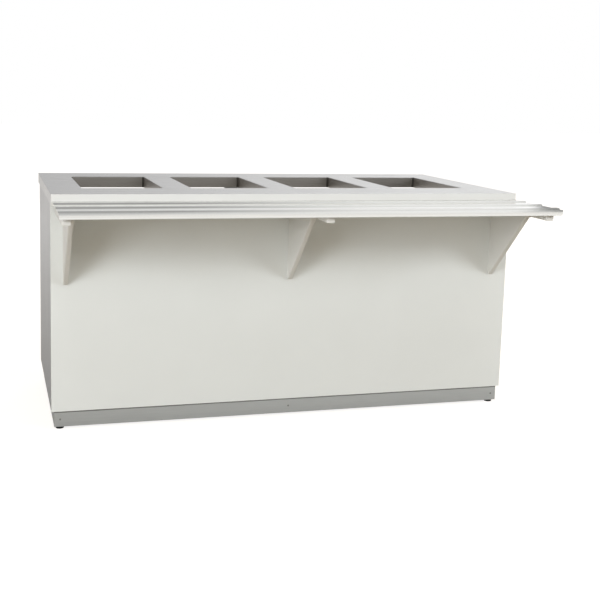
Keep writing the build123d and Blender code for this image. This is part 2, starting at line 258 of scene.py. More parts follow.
@dataclass(frozen=True)
class PlatedSteel:
    """Zinc-plated steel: a dull silver skin with bluish and straw-coloured clouds and fine pits."""

    name: str
    blue: str
    straw: str
    smooth: float
    rough: float
    cloud_mm: float = 6.0
    clouds: Ramp = (0.35, 0.65)
    # The pits of a barrel-plated skin are some 0.1 mm wide. They are drawn coarser, so that they show.
    pit_mm: float = 0.5
    pit_depth_mm: float = 0.03
    relief: float = 0.3

    def material(self) -> bpy.types.Material:
        """Mix the finish from its patterns.

        Returns:
            The new material.
        """
        material, add, place = empty_material(self.name)
        spread = {"Vector": place, "Scale": per_metre(self.cloud_mm), "Detail": 3.0, "Distortion": 0.5}
        cloud = add("TexNoise", spread)["Fac"]
        cells = {"Vector": place, "Scale": per_metre(self.pit_mm)}
        pits = add("TexVoronoi", cells)["Distance"]
        share = add("MapRange", (cloud, *self.clouds))[0]
        skin = {SHARE: share, FIRST: linear(self.blue), SECOND: linear(self.straw)}
        colour = add("Mix", skin, data_type="RGBA")[MIXED]
        gloss = add("MapRange", (cloud, 0.0, 1.0, self.smooth, self.rough))[0]
        inputs = {"Base Color": colour, "Metallic": 1.0, "Roughness": gloss}
        end_material(add, pits, self.relief, self.pit_depth_mm, inputs)
        return material


@dataclass(frozen=True)
class PowderCoat:
    """Powder coat on steel: an even paint with a satin gloss and a faint orange peel."""

    name: str
    light: str
    dark: str
    gloss: float
    matt: float
    # Orange peel has waves some 1.5 mm long. They are drawn coarser, so that they show.
    peel_mm: float = 4.0
    peel_depth_mm: float = 0.03
    peels: Ramp = (0.3, 0.7)
    relief: float = 0.25
    cloud_mm: float = 220.0
    # Cloths leave broad wipe marks, seen only as a change of gloss.
    wipe_mm: float = 60.0
    wipe: float = 0.06
    ior: float = 1.5

    def material(self) -> bpy.types.Material:
        """Mix the finish from its patterns.

        Returns:
            The new material.
        """
        material, add, place = empty_material(self.name)
        patterns = (
            {"Vector": place, "Scale": per_metre(self.peel_mm), "Detail": 2.0},
            {"Vector": place, "Scale": per_metre(self.cloud_mm), "Detail": 3.0},
            {"Vector": place, "Scale": per_metre(self.wipe_mm), "Detail": 4.0, "Distortion": 1.2},
        )
        peel, cloud, wiped = [add("TexNoise", pattern)["Fac"] for pattern in patterns]
        paint = {SHARE: cloud, FIRST: linear(self.dark), SECOND: linear(self.light)}
        colour = add("Mix", paint, data_type="RGBA")[MIXED]
        gloss = add("MapRange", (peel, *self.peels, self.gloss, self.matt))[0]
        uneven = add("Math", (wiped, self.wipe, gloss), operation="MULTIPLY_ADD")[0]
        inputs = {"Base Color": colour, "Roughness": uneven, "IOR": self.ior}
        end_material(add, peel, self.relief, self.peel_depth_mm, inputs)
        return material


@dataclass(frozen=True)
class MouldedNylon:
    """Moulded nylon: dull plastic with the mould's eroded grain, scuffed pale where it meets the floor."""

    name: str
    body: str
    scuff: str
    gloss: float
    matt: float
    grain_mm: float = 0.6
    grain_depth_mm: float = 0.04
    relief: float = 0.4
    scuff_mm: float = 1.2
    ior: float = 1.53

    def material(self) -> bpy.types.Material:
        """Mix the finish from its patterns.

        Returns:
            The new material.
        """
        material, add, place = empty_material(self.name)
        eroded = {"Vector": place, "Scale": per_metre(self.grain_mm), "Detail": 2.0}
        grain = add("TexNoise", eroded)["Fac"]
        height = add("SeparateXYZ", (place,))["Z"]
        scuff = self.scuff_mm * MM
        uneven = add("Math", (grain, scuff, height), operation="MULTIPLY_ADD")[0]
        worn = add("MapRange", (uneven, 0.0, scuff, 1.0, 0.0))[0]
        plastic = {SHARE: worn, FIRST: linear(self.body), SECOND: linear(self.scuff)}
        colour = add("Mix", plastic, data_type="RGBA")[MIXED]
        gloss = add("MapRange", (grain, 0.0, 1.0, self.gloss, self.matt))[0]
        inputs = {"Base Color": colour, "Roughness": gloss, "IOR": self.ior}
        end_material(add, grain, self.relief, self.grain_depth_mm, inputs)
        return material


# Belt-brushed sheet: strokes along the counter, and a blurred mirror that brightens to the right.
WORKTOP_STEEL = BrushedSteel("stainless_belt_brushed", "#e6e6e6", "#dddddd", 0.24, 0.36, Grain.ALONG_X)
# The same sheet hung with its strokes upright, so that what it mirrors is drawn out sideways, and a touch
# darker than the worktop as painted shade.
SIDE_STEEL = BrushedSteel("stainless_side_brushed", "#dededf", "#d4d4d5", 0.30, 0.42, Grain.UPRIGHT)
# Sheet at floor level: duller from shoes and mops, with a painted shade line under the panel's edge.
PLINTH_STEEL = BrushedSteel(
    "stainless_plinth_brushed", "#e0e1df", "#d8dad8", 0.32, 0.44, Grain.LEVEL, shade_line_mm=63.0
)
# Inner walls of the wells, dulled by steam and scouring, with painted shade in their corners.
COLLAR_STEEL = BrushedSteel(
    "stainless_collar_dull", "#c3bfba", "#b6b2ad", 0.32, 0.46, Grain.LEVEL, corner="#6a6762"
)
# Bright rolled sheet that trays have polished: an almost clear mirror of the white fascia.
TRAY_STEEL = BrushedSteel(
    "stainless_tray_bright", "#f2f2ef", "#eaeae7", 0.07, 0.13, Grain.ALONG_X, smear=0.02
)
# Tube as it leaves the mill: greyer, with a coarse draw along it.
RAIL_STEEL = BrushedSteel("stainless_rail_mill", "#c6c6c4", "#b0b0ae", 0.34, 0.46, Grain.LEVEL)
# The same tube where it stands upright, so that its draw runs up.
POST_STEEL = BrushedSteel("stainless_post_mill", "#c6c6c4", "#b0b0ae", 0.34, 0.46, Grain.UPRIGHT)
# Turned screws: narrow rings from the tool, grey against the plinth.
SCREW_STEEL = BrushedSteel(
    "stainless_screw_turned", "#b6b6b2", "#9e9e9a", 0.30, 0.42, Grain.LEVEL, band_mm=4.0
)
# Barrel-plated zinc: a silver that clouds from bluish to straw, dimmed by fine pits.
ZINC = PlatedSteel("steel_zinc_plated", "#bfc4ca", "#c8c4b6", 0.26, 0.42)
# Oven-cured paint on the large panel: a cool white with a soft satin sheen.
PANEL_COAT = PowderCoat("steel_powder_coated_white", "#e7e9e5", "#e2e4e0", 0.36, 0.48)
# The same paint, a touch creamier and darker: a painted shade copy for the fascia and the brackets.
SHADED_COAT = PowderCoat("steel_powder_coated_white_shaded", "#e4e3de", "#dfded9", 0.36, 0.48)
# Moulded glides: near black, with a dull grain that breaks up highlights and a pale, scuffed foot.
BLACK_NYLON = MouldedNylon("nylon_moulded_black", "#101010", "#3a3935", 0.52, 0.66)
Finish = BrushedSteel | PlatedSteel | PowderCoat | MouldedNylon


def new_object(name: str, data: bpy.types.ID) -> bpy.types.Object:
    """Put a new object into the scene.

    Args:
        name: Name of the object.
        data: Its mesh, lamp or camera.

    Returns:
        The new object.
    """
    made = bpy.data.objects.new(name, data)
    bpy.context.scene.collection.objects.link(made)
    return made


def stored(name: str, shape: Shape) -> bpy.types.Mesh:
    """Store a mesh that was being worked on, and free the working copy.

    Args:
        name: Name that the mesh gets.
        shape: Mesh that is done.

    Returns:
        The stored mesh.
    """
    mesh = bpy.data.meshes.new(name)
    shape.to_mesh(mesh)
    shape.free()
    return mesh


@dataclass(frozen=True)
class Eye:
    """Camera that looks as the photograph does, in metres and radians."""

    place: Point = (-1.109563, -3.885909, 1.240967)
    pan: float = -0.281166
    tilt: float = 0.143653
    roll: float = 0.0265365
    focal_px: float = 1019.238
    centre_px: tuple[float, float] = (280.0, 240.0)
    image_px: int = 600
    sensor_mm: float = 36.0
    farthest: float = 100.0

    def build(self) -> None:
        """Make the camera and set it as the scene's own."""
        data = bpy.data.cameras.new("eye")
        data.sensor_width = self.sensor_mm
        data.lens = self.focal_px / self.image_px * self.sensor_mm
        data.shift_x = 0.5 - self.centre_px[0] / self.image_px
        data.shift_y = self.centre_px[1] / self.image_px - 0.5
        data.clip_end = self.farthest
        camera = new_object("eye", data)
        # A new camera looks down. It is rolled about its view, raised, and panned about the upright.
        raised = Matrix.Rotation(self.pan, 4, "Z") @ Matrix.Rotation(QUARTER - self.tilt, 4, "X")
        turn = raised @ Matrix.Rotation(self.roll, 4, "Z")
        camera.matrix_world = Matrix.Translation(self.place) @ turn
        bpy.context.scene.camera = camera
        LOG.info("camera at %s", self.place)


@dataclass(frozen=True)
class Softbox:
    """Large soft lamp: where it hangs, what it is turned to, its size and its power."""

    name: str
    place: Point
    aim: Point
    size: tuple[float, float]
    power: float

    def build(self, tint: str) -> None:
        """Hang the lamp.

        Args:
            tint: Colour of its light.
        """
        data = bpy.data.lights.new(self.name, "AREA")
        data.shape = "RECTANGLE"
        data.size, data.size_y = self.size
        data.energy = self.power
        data.color = linear(tint)[:3]
        lamp = new_object(self.name, data)
        # Bright metal mirrors the white room, not the lamps.
        lamp.visible_glossy = False
        turn = (Vector(self.aim) - Vector(self.place)).to_track_quat("-Z", "Y")
        lamp.matrix_world = Matrix.Translation(self.place) @ turn.to_matrix().to_4x4()


@dataclass(frozen=True)
class Studio:
    """White room: sky light, softboxes and a pale floor that keeps the object's shadow."""

    sky_strength: float = 0.30
    sky_tint: str = "#ffedd4"
    lamp_tint: str = "#f4f9ff"
    # Bright metal mirrors a room that is darker overhead, most of all to the left, and bright to the right.
    # These go by direction: upward for the first, and sideways for the rest.
    overhead: Ramp = (0.15, 0.75)
    ceiling: Ramp = (0.18, 0.36, 0.42, 0.92)
    across: Ramp = (-0.1, 0.5, 0.50, 1.04)
    # The white paper behind the counter ends here, and a dark gap shows before the next sheet.
    gap_start: Ramp = (0.497, 0.507, 1.0, 0.3)
    gap_end: Ramp = (0.55, 0.58)
    floor_size: float = 60.0
    floor_light: str = "#aea597"
    floor_dark: str = "#a9a092"
    floor_mirrored: str = "#a4a3a0"
    floor_fibre_mm: float = 300.0
    # Lift to white for the camera and in mirrors, by the distance from the middle in metres, and how much
    # less of it mirrors show behind the counter's front, as a painted shadow of the counter.
    floor_lift: Ramp = (1.5, 6.0, 0.82, 1.02)
    floor_shine: Ramp = (1.0, 7.0, 0.16, 0.81)
    floor_painted_shade: Ramp = (-0.6, 0.4, 1.0, 0.74)
    lamps: tuple[Softbox, ...] = (
        Softbox("left_softbox", (-4.8, -4.6, 2.4), (0, -0.2, 0.6), (2.6, 2.6), 260.0),
        Softbox("right_softbox", (4.8, -4.6, 3.1), (0, -0.2, 0.6), (2.6, 1.4), 208.0),
        Softbox("rear_softbox", (1.2, 6.4, 2.6), (0, 0.5, 0.5), (3.2, 1.8), 150.0),
        Softbox("top_softbox", (0.2, -1.4, 4.2), (0, -0.1, 0.6), (4.0, 2.4), 70.0),
    )

    def build_sky(self) -> None:
        """White to the camera and in mirrors, and a lower light on everything else."""
        world = bpy.data.worlds.new("white_room")
        bpy.context.scene.world = world
        world.use_nodes = True
        add = adder(world.node_tree)
        path = add("LightPath")
        view = add("TexCoord")["Generated"]
        split = add("SeparateXYZ", (view,))
        overhead = add("MapRange", (split["Z"], *self.overhead))[0]
        sideways = (self.ceiling, self.across, self.gap_start, self.gap_end)
        levels = [add("MapRange", (split["X"], *ramp))[0] for ramp in sideways]
        ceiling, across, gap_start, gap_end = levels
        level = add("Mix", {"Factor": overhead, "A": across, "B": ceiling})[0]
        whole = add("Math", (level, across), operation="MINIMUM")[0]
        gap = add("Math", (gap_start, gap_end), operation="MAXIMUM")[0]
        mirrored = add("Math", (whole, gap), operation="MULTIPLY")[0]
        lights = ((linear(self.sky_tint), self.sky_strength), (WHITE, mirrored), (WHITE, 1.0))
        sky, glow, white = [add("Background", light)[0] for light in lights]
        rays = (path["Is Glossy Ray"], path["Is Transmission Ray"])
        seen = add("Math", rays, operation="MAXIMUM")[0]
        first = add("MixShader", (seen, sky, glow))[0]
        last = add("MixShader", (path["Is Camera Ray"], first, white))[0]
        add("OutputWorld", {"Surface": last})

    def build_floor(self) -> None:
        """Pale floor, lifted to white for the camera."""
        material, add, place = empty_material("floor_paper")
        path = add("LightPath")
        rays = (path["Is Camera Ray"], path["Is Transmission Ray"])
        seen = add("Math", rays, operation="MAXIMUM")[0]
        far = add("VectorMath", (place,), operation="LENGTH")["Value"]
        need = add("MapRange", (far, *self.floor_lift))[0]
        outward = add("MapRange", (far, *self.floor_shine))[0]
        # Painted shadow: the floor that mirrors show dims behind the counter's front.
        depth = add("SeparateXYZ", (place,))["Y"]
        behind = add("MapRange", (depth, *self.floor_painted_shade))[0]
        mirrored = add("Math", (outward, behind), operation="MULTIPLY")[0]
        glossy = path["Is Glossy Ray"]
        shine = add("Math", (glossy, mirrored), operation="MULTIPLY")[0]
        lift = add("Math", (seen, need, shine), operation="MULTIPLY_ADD")[0]
        fibres = {"Vector": place, "Scale": per_metre(self.floor_fibre_mm)}
        fibre = add("TexNoise", fibres)["Fac"]
        warm = {SHARE: fibre, FIRST: linear(self.floor_dark), SECOND: linear(self.floor_light)}
        tone = add("Mix", warm, data_type="RGBA")[MIXED]
        # The paper throws a warm light back on the paint, but metal mirrors it as plain grey.
        grey = {SHARE: glossy, FIRST: tone, SECOND: linear(self.floor_mirrored)}
        shown = add("Mix", grey, data_type="RGBA")[MIXED]
        paper = add("BsdfDiffuse", {"Color": shown})[0]
        glow = add("Emission", {"Strength": lift})[0]
        both = add("AddShader", (paper, glow))[0]
        add("OutputMaterial", {"Surface": both})
        shape = bmesh.new()
        bmesh.ops.create_grid(shape, x_segments=1, y_segments=1, size=self.floor_size / 2)
        mesh = stored("floor", shape)
        mesh.materials.append(material)
        floor = new_object("floor", mesh)

    def build(self) -> None:
        """Set up the room."""
        bpy.context.scene.view_settings.view_transform = "Standard"
        self.build_sky()
        self.build_floor()
        for lamp in self.lamps:
            lamp.build(self.lamp_tint)
        LOG.info("studio with %d softboxes", len(self.lamps))


class Axis(Enum):
    """Direction in which a tube runs or a piece points."""

    X = 0
    Y = 1
    Z = 2

    @property
    def vector(self) -> Vector:
        """Unit vector along the axis."""
        return Vector([float(i == self.value) for i in range(3)])


# Lowest and highest corner of a tube, and the direction of its length.
TubeBox = tuple[Point, Point, Axis]


@dataclass(frozen=True)
class Plan:
    """Measures of the whole counter that several pieces share, in millimetres."""

    frame_half: float = 898.5
    front: float = -277.5
    panel: float = -227.5
    frame_front: float = -226.0
    frame_back: float = 521.0
    panel_bottom: float = 70.0
    deck: float = 110.0
    rail: float = 838.5
    under_top: float = 868.5
    fold: float = 830.0
    leg_x: float = 868.5
    leg_front: float = -198.0
    leg_back: float = 441.0
    leg_bottom: float = 16.5
    bracket_xs: tuple[float, ...] = (-848.0, -10.0, 832.0)
    between_wells: tuple[float, ...] = (-415.0, 0.0, 415.0)


PLAN = Plan()


def node_box(node: str) -> tuple[Vector, Vector]:
    """Lowest and highest corner of a CAD node, in millimetres."""
    low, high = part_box(node)
    return low / MM, high / MM


def new_verts(made: dict[str, Any]) -> list[bmesh.types.BMVert]:
    """Vertices in what an operator gave back."""
    return [item for group in made.values() for item in group if isinstance(item, bmesh.types.BMVert)]


def bevel(shape: Shape, edges: Iterable[bmesh.types.BMEdge], width: float, segments: int) -> None:
    """Round some edges.

    Args:
        shape: Mesh that is changed.
        edges: Edges to round.
        width: Distance from the edge at which the rounding starts.
        segments: Number of faces across the rounding.
    """
    bmesh.ops.bevel(
        shape, geom=list(edges), offset=width, offset_type="OFFSET", affect="EDGES", segments=segments,
        profile=0.5, material=-1,
    )
    shape.normal_update()


def edge_run(edge: bmesh.types.BMEdge) -> Vector:
    """Vector along an edge."""
    return edge.verts[1].co - edge.verts[0].co


def thicken(shape: Shape, wall: float, out: Sequence[bmesh.types.BMFace] = ()) -> None:
    """Take some faces out of a form and make its other faces into a wall.

    Args:
        shape: Mesh that is changed.
        wall: Thickness of the wall, inward from the faces.
        out: Faces that are taken out.
    """
    bmesh.ops.delete(shape, geom=list(out), context="FACES_ONLY")
    shape.normal_update()
    bmesh.ops.solidify(shape, geom=shape.faces[:], thickness=wall)


def block(low: Point, high: Point) -> Shape:
    """Mesh of a plain block, as a start for tubes.

    Args:
        low: Lowest corner.
        high: Highest corner.

    Returns:
        The new mesh.
    """
    shape = bmesh.new()
    bmesh.ops.create_cube(shape, size=1.0)
    bmesh.ops.scale(shape, vec=Vector(high) - Vector(low), verts=shape.verts)
    bmesh.ops.translate(shape, vec=(Vector(low) + Vector(high)) / 2, verts=shape.verts)
    shape.normal_update()
    return shape


def joined(parts: Iterable[Shape]) -> Shape:
    """Put several meshes into one, and free them.

    Args:
        parts: Meshes that are joined.

    Returns:
        The new mesh.
    """
    whole = bmesh.new()
    for part in parts:
        mesh = stored("joining", part)
        whole.from_mesh(mesh)
        bpy.data.meshes.remove(mesh)
    return whole


def spun(profile: Outline, steps: int = 24) -> Shape:
    """Round piece about the Z axis.

    Args:
        profile: Radius and height of the points of its outline, from bottom to top.
        steps: Number of faces round it.

    Returns:
        The new mesh.
    """
    shape = bmesh.new()
    verts = [shape.verts.new((radius, 0, height)) for radius, height in profile]
    edges = [shape.edges.new(pair) for pair in zip(verts, verts[1:])]
    bmesh.ops.spin(
        shape, geom=verts + edges, cent=(0, 0, 0), axis=(0, 0, 1), angle=math.tau, steps=steps,
        use_merge=True,
    )
    bmesh.ops.remove_doubles(shape, verts=shape.verts, dist=HAIR)
    bmesh.ops.recalc_face_normals(shape, faces=shape.faces)
    return shape


def hexagon(radius: float, low: float, high: float, chamfer: float) -> Shape:
    """Upright hexagonal prism with a rounded upper rim, as on a bolt head.

    Args:
        radius: Radius over its corners.
        low: Height of its lower face.
        high: Height of its upper face.
        chamfer: Width of the rounding.

    Returns:
        The new mesh.
    """
    shape = bmesh.new()
    bmesh.ops.create_cone(
        shape, cap_ends=True, segments=6, radius1=radius, radius2=radius, depth=high - low
    )
    bmesh.ops.translate(shape, vec=(0, 0, (low + high) / 2), verts=shape.verts)
    rim = [e for e in shape.edges if all(v.co.z > high - HAIR for v in e.verts)]
    bevel(shape, rim, chamfer, RIM_FACES)
    return shape


def turned(shape: Shape, up: Point, place: Point) -> Shape:
    """Turn a mesh's Z axis to a direction and move it to a place.

    Args:
        shape: Mesh that is moved.
        up: Direction that its Z axis gets.
        place: Place that its origin gets.

    Returns:
        The same mesh.
    """
    turn = Vector((0, 0, 1)).rotation_difference(Vector(up)).to_matrix()
    bmesh.ops.rotate(shape, cent=(0, 0, 0), matrix=turn, verts=shape.verts)
    bmesh.ops.translate(shape, vec=place, verts=shape.verts)
    return shape


@dataclass(frozen=True)
class PanScrew:
    """Pan-head screw with a cross recess: radius and height of its head, radius and length of its shank."""

    head: float
    height: float
    shank: float
    length: float
    # Radius of its tip as a part of the shank's.
    point: float = 0.5
    # Outline of the head's dome, as parts of its radius and of its height.
    dome: tuple[tuple[float, float], ...] = ((1.0, 0.35), (0.92, 0.7), (0.62, 1.0))
    # Reach and half width of the recess as parts of the head's radius, and depth as a part of its height.
    recess_reach: float = 0.5
    recess_half: float = 0.13
    recess_depth: float = 0.7

    def build(self) -> Shape:
        """Mesh of the screw with its head up and its seat at Z = 0.

        Returns:
            The new mesh.
        """
        head, height, shank, length = self.head, self.height, self.shank, self.length
        outline = [(TINY, -length), (shank * self.point, -length), (shank, shank - length), (shank, 0)]
        outline += [(head, 0), *((head * wide, height * up) for wide, up in self.dome)]
        shape = spun(outline)
        reach, half = head * self.recess_reach, head * self.recess_half
        verts = []
        for turn in range(4):
            spin = Matrix.Rotation(turn * QUARTER, 3, "Z")
            for point in ((reach, -half), (reach, half), (half, half)):
                verts.append(shape.verts.new(spin @ Vector((*point, height))))
        cross = [shape.edges.new((verts[i - 1], verts[i])) for i in range(len(verts))]
        rim = [e for e in shape.edges if e.is_boundary and all(v.co.z > height - HAIR for v in e.verts)]
        bmesh.ops.bridge_loops(shape, edges=cross + rim)
        made = bmesh.ops.extrude_edge_only(shape, edges=cross)
        bmesh.ops.translate(shape, vec=(0, 0, -height * self.recess_depth), verts=new_verts(made))
        bmesh.ops.contextual_create(shape, geom=[e for e in shape.edges if e.is_boundary])
        bmesh.ops.recalc_face_normals(shape, faces=shape.faces)
        return shape


@cache
def coat(finish: Finish) -> bpy.types.Material:
    """Material of a finish, made once."""
    return finish.material()


@dataclass(frozen=True)
class Workshop:
    """Gives the CAD nodes their finishes, and turns meshes into pieces of the counter."""

    # Folds and edges sharper than this stay crisp in the shading.
    crease_deg: float = 32.0

    def dress(self, node: str, finish: Finish) -> None:
        """Give a CAD node its finish.

        Args:
            node: Name of the node.
            finish: Its finish.
        """
        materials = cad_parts[node].data.materials
        materials.clear()
        materials.append(coat(finish))
        LOG.info("node %s: %s", node, finish.name)

    def add(
        self, name: str, shape: Shape, finish: Finish, slot: str, body: str = "counter", nodes: Nodes = ()
    ) -> None:
        """Make a piece from a mesh in millimetres.

        Args:
            name: Name of the piece.
            shape: Its mesh, which is freed.
            finish: Its finish.
            slot: Material slot of the record that it belongs to; not used.
            body: Body that it moves with.
            nodes: CAD nodes that it stands for.
        """
        bmesh.ops.scale(shape, vec=(MM, MM, MM), verts=shape.verts)
        mesh = stored(name, shape)
        mesh.polygons.foreach_set("use_smooth", [True] * len(mesh.polygons))
        mesh.set_sharp_from_angle(angle=math.radians(self.crease_deg))
        mesh.materials.append(coat(finish))
        piece = new_object(name, mesh)
        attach(piece, body)
        if nodes:
            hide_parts(*nodes)
        LOG.info("piece %s: %d faces, %s", name, len(mesh.polygons), finish.name)


@dataclass(frozen=True)
class Casing:
    """Worktop, wells, panels, shelf, plinth and foot inserts, whose CAD shapes only need their finish."""

    steel: Nodes = ("worktop", "base_shelf")
    sides: Nodes = ("left_side_panel", "right_side_panel", "centre_stile")
    plinth: Nodes = ("plinth_front", "plinth_back", "plinth_left", "plinth_right")
    wells: int = 4

    def dress(self, shop: Workshop) -> None:
        """Give every shape its finish.

        Args:
            shop: Workshop that dresses the CAD nodes.
        """
        collars = tuple(f"well_collar_{i}" for i in range(1, self.wells + 1))
        groups = (
            (self.steel, WORKTOP_STEEL),
            (self.sides, SIDE_STEEL),
            (self.plinth, PLINTH_STEEL),
            (collars, COLLAR_STEEL),
            (("front_panel",), PANEL_COAT),
            # The fascia gets the darker, painted shade copy of the panel's paint.
            (("front_fascia",), SHADED_COAT),
            (("foot_inserts",), ZINC),
        )
        for nodes, finish in groups:
            for node in nodes:
                shop.dress(node, finish)


@dataclass(frozen=True)
class TubeFrame:
    """Welded frame of square tube inside the casing."""

    base: float = 40.0
    top: float = 30.0
    post_width: float = 40.0
    post_depth: float = 30.0
    back_post_x: float = 860.0
    wall: float = 2.0
    corner: float = 3.0

    def tube(self, low: Point, high: Point, axis: Axis) -> Shape:
        """Square tube with rounded edges, open at both ends.

        Args:
            low: Lowest corner.
            high: Highest corner.
            axis: Direction of its length.

        Returns:
            The new mesh.
        """
        shape, run = block(low, high), axis.vector
        long = [e for e in shape.edges if abs(edge_run(e).dot(run)) > HAIR]
        bevel(shape, long, self.corner, TUBE_FACES)
        thicken(shape, self.wall, [f for f in shape.faces if abs(f.normal.dot(run)) > SQUARE_ON])
        return shape

    def ladder(self, t: float, bottom: float, top: float, between: Sequence[float] = ()) -> list[TubeBox]:
        """Rails along the counter at its front and back, and rails across between them.

        Args:
            t: Width of the tubes.
            bottom: Height of their lower faces.
            top: Height of their upper faces.
            between: Places of rails across besides those at the ends.

        Returns:
            Corners and directions of the rails.
        """
        half, front, back = PLAN.frame_half, PLAN.frame_front, PLAN.frame_back - t
        xs = (-half, *(x - t / 2 for x in between), half - t)
        rails = [((-half, y, bottom), (half, y + t, top), Axis.X) for y in (front, back)]
        return rails + [((x, front + t, bottom), (x + t, back, top), Axis.Y) for x in xs]

    def leg_boxes(self) -> list[TubeBox]:
        """Legs at the corners of the base, and stubs halfway.

        Returns:
            Their corners and directions.
        """
        p, r = PLAN, self.base / 2
        spots = [(x, y) for x in (-p.leg_x, 0.0, p.leg_x) for y in (p.leg_front, p.leg_back)]
        return [((x - r, y - r, p.leg_bottom), (x + r, y + r, p.panel_bottom), Axis.Z) for x, y in spots]

    def post_boxes(self) -> list[TubeBox]:
        """Posts behind the brackets and at the operator's corners.

        Returns:
            Their corners and directions.
        """
        p, w, d = PLAN, self.post_width / 2, self.post_depth
        spots = [(x - w, x + w, p.frame_front, p.frame_front + d) for x in p.bracket_xs]
        for x in (-self.back_post_x - d, self.back_post_x):
            spots.append((x, x + d, p.frame_back - d, p.frame_back))
        return [((x0, y0, p.deck), (x1, y1, p.rail), Axis.Z) for x0, x1, y0, y1 in spots]

    def build(self, shop: Workshop) -> None:
        """Make the three welded groups of tubes.

        Args:
            shop: Workshop that makes the pieces.
        """
        p = PLAN
        base = self.ladder(self.base, p.panel_bottom, p.deck) + self.leg_boxes()
        top = self.ladder(self.top, p.rail, p.under_top, p.between_wells)
        groups = (
            ("base_tubes", base, "base_frame", RAIL_STEEL),
            ("post_tubes", self.post_boxes(), "frame_posts", POST_STEEL),
            ("top_tubes", top, "top_frame", RAIL_STEEL),
        )
        for name, boxes, node, finish in groups:
            shape = joined(self.tube(*box) for box in boxes)
            shop.add(name, shape, finish, "frame_tube", nodes=(node,))


@dataclass(frozen=True)
class TraySlide:
    """Bright sheet with raised ribs, a lip with a hem and a flange at the fascia."""

    thickness: float = 1.5
    lip: float = 20.0
    hem: float = 10.0
    lip_corner: float = 9.0
    corner_cuts: int = 5
    flange: float = 15.0
    rib_back: float = 74.0
    rib_front: float = 37.0
    ribs: int = 3
    rib_foot: float = 26.0
    rib_crest: float = 19.0
    rib_height: float = 4.5
    bend: float = 1.5

    def outline(self, low: Vector, high: Vector) -> Outline:
        """Line of the folded sheet in Y and Z, from its hem to its flange.

        Args:
            low: Lowest corner of the tray slide.
            high: Its highest corner.

        Returns:
            Y and Z of the line's corners.
        """
        flat = high.z - self.rib_height
        edge = flat - self.lip
        points = [(low.y + self.hem, edge), (low.y, edge), (low.y, flat)]
        first = low.y + self.rib_front
        pitch = (high.y - self.rib_back - first) / (self.ribs - 1)
        for i in range(self.ribs):
            middle = first + i * pitch
            for side in (-1, 1):
                outer = (middle + side * self.rib_foot / 2, flat)
                inner = (middle + side * self.rib_crest / 2, flat + self.rib_height)
                points += [outer, inner] if side < 0 else [inner, outer]
        return points + [(high.y, flat), (high.y, flat - self.flange)]

    def build(self, shop: Workshop) -> None:
        """Fold the sheet, round the lip's corners and give it its thickness.

        Args:
            shop: Workshop that makes the piece.
        """
        low, high = node_box("tray_slide")
        shape = bmesh.new()
        verts = [shape.verts.new((low.x, y, z)) for y, z in self.outline(low, high)]
        edges = [shape.edges.new(pair) for pair in zip(verts, verts[1:])]
        made = bmesh.ops.extrude_edge_only(shape, edges=edges)
        bmesh.ops.translate(shape, vec=(high.x - low.x, 0, 0), verts=new_verts(made))
        bevel(shape, [e for e in shape.edges if len(e.link_faces) == 2], self.bend, SHEET_FACES)
        for side, end in ((-1, low.x), (1, high.x)):
            centre = Vector((end - side * self.lip_corner, 0, low.z + self.lip_corner))
            for i in range(1, self.corner_cuts):
                angle = i * QUARTER / self.corner_cuts
                out = Vector((side * math.cos(angle), 0, -math.sin(angle)))
                tangent = centre + out * self.lip_corner
                whole = shape.verts[:] + shape.edges[:] + shape.faces[:]
                bmesh.ops.bisect_plane(
                    shape, geom=whole, dist=TINY, plane_co=tangent, plane_no=out, clear_outer=True
                )
        thicken(shape, self.thickness)
        shop.add("tray_sheet", shape, TRAY_STEEL, "tray_stainless", nodes=("tray_slide",))


